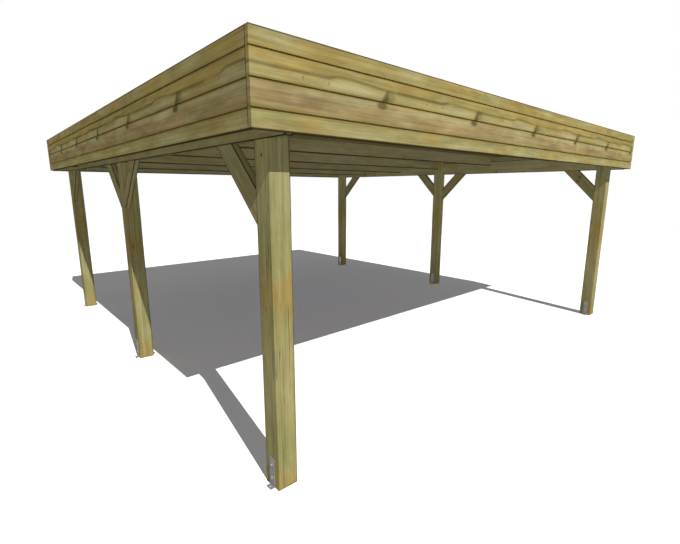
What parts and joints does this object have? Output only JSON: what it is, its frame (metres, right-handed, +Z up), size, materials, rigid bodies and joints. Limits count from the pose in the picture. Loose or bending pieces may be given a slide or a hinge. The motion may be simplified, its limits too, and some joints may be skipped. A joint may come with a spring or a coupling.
{
  "type": "carport",
  "caption": "Open flat-roofed timber carport: square posts in rows, notched side beams with knee braces, joists falling to the back behind a level shiplap fascia.",
  "frame": {"origin": "on the ground, under the middle of the roof", "axes": "+X to the right seen from the front, +Y from the front to the back, +Z up"},
  "size_m": [6, 6, 2.552],
  "materials": {
    "post_timber": "pressure-treated softwood, planed, green-tinted, matt",
    "frame_timber": "pressure-treated softwood, sawn, green-tinted, matt",
    "fascia_timber": "pressure-treated softwood, planed, straw to green, matt",
    "deck_board": "softwood plywood, matt",
    "roof_rubber": "matt black sheet",
    "galvanised_steel": "hot-dip galvanised, dull"
  },
  "bodies": {
    "root": {"anchor_back_left": "galvanised_steel", "anchor_back_right": "galvanised_steel", "anchor_front_left": "galvanised_steel", "anchor_front_right": "galvanised_steel", "anchor_middle_left": "galvanised_steel", "anchor_middle_right": "galvanised_steel", "beam_left": "frame_timber", "beam_right": "frame_timber", "fascia_back": "fascia_timber", "fascia_front": "fascia_timber", "fascia_left": "fascia_timber", "fascia_right": "fascia_timber", "joist_1": "frame_timber", "joist_2": "frame_timber", "joist_3": "frame_timber", "joist_4": "frame_timber", "joist_5": "frame_timber", "kerb_back": "frame_timber", "kerb_front": "frame_timber", "kerb_left": "frame_timber", "kerb_right": "frame_timber", "knee_brace_left_1": "frame_timber", "knee_brace_left_2": "frame_timber", "knee_brace_left_3": "frame_timber", "knee_brace_left_4": "frame_timber", "knee_brace_right_1": "frame_timber", "knee_brace_right_2": "frame_timber", "knee_brace_right_3": "frame_timber", "knee_brace_right_4": "frame_timber", "post_back_left": "post_timber", "post_back_right": "post_timber", "post_front_left": "post_timber", "post_front_right": "post_timber", "post_middle_left": "post_timber", "post_middle_right": "post_timber", "rim_back": "frame_timber", "rim_front": "frame_timber", "rim_left": "frame_timber", "rim_right": "frame_timber", "roof_deck": "deck_board", "roof_membrane": "roof_rubber"}
  },
  "joints": []
}
